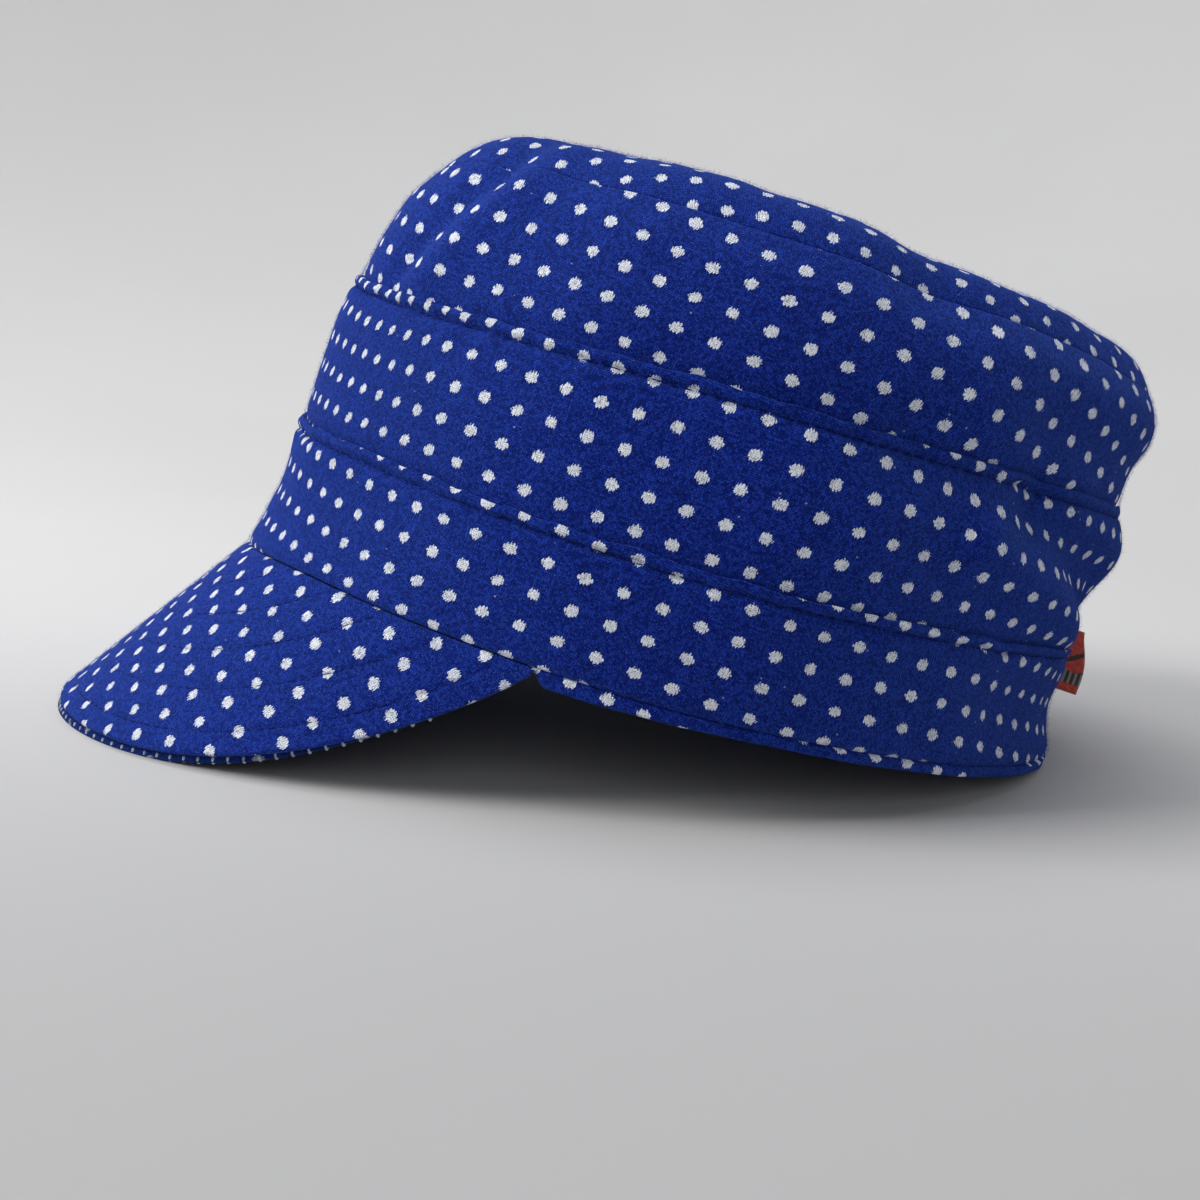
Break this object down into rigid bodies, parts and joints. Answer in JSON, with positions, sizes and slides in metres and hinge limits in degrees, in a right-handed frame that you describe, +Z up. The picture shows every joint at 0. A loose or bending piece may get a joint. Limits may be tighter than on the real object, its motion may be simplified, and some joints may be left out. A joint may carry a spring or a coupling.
{
  "type": "cadet cap",
  "caption": "Soft cadet cap with a domed top, a side crown over two lapped bands, a short drooping peak and a tab at the back.",
  "frame": {"origin": "on the surface the cap rests on, under the middle of its bounding box", "axes": "+Z up from the surface, -Y towards the peak, +X towards the wearer's left"},
  "size_m": [0.1746, 0.2621, 0.1321],
  "materials": {
    "jersey": "royal blue cotton jersey with small white knitted dots",
    "inner_jersey": "the same jersey, turned inside as the sweatband",
    "tab": "woven ribbon, red with plain dark bars"
  },
  "bodies": {
    "root": {"lower_band": "jersey", "mid_band": "jersey", "crown_side": "jersey", "crown_top": "jersey", "sweatband": "inner_jersey", "peak_top": "jersey", "peak_under": "jersey", "label_tab": "tab"}
  },
  "joints": []
}
